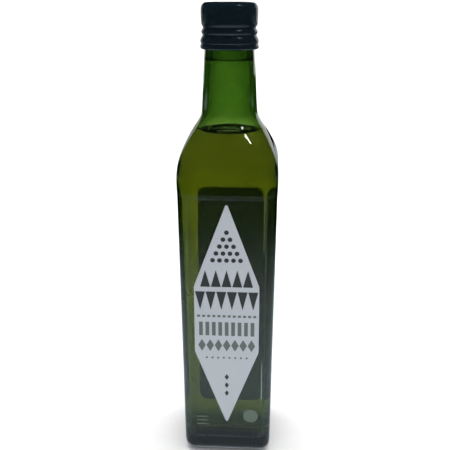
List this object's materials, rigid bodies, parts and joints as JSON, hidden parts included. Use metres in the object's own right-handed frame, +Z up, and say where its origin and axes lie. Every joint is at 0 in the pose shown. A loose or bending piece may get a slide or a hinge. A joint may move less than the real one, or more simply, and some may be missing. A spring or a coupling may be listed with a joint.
{
  "type": "olive oil bottle",
  "caption": "Tall square bottle of dark green glass with a round neck, filled with olive oil up to the shoulder, with a rolled-on black metal cap, a clear front label and a dark back label.",
  "frame": {"origin": "centre of the bounding box's base, which is where the bottle stands", "axes": "+Z up along the bottle, the labelled front face looks along -Y"},
  "size_m": [0.0574, 0.0574, 0.269],
  "materials": {
    "glass": "glossy dark green",
    "oil": "clear yellow-green liquid",
    "cap_metal": "glossy black lacquer",
    "label_film": "clear film with a pale print",
    "label_back": "dark paper"
  },
  "bodies": {
    "root": {"bottle": "glass", "oil": "oil", "cap": "cap_metal", "front_label": "label_film", "back_label": "label_back"}
  },
  "joints": []
}
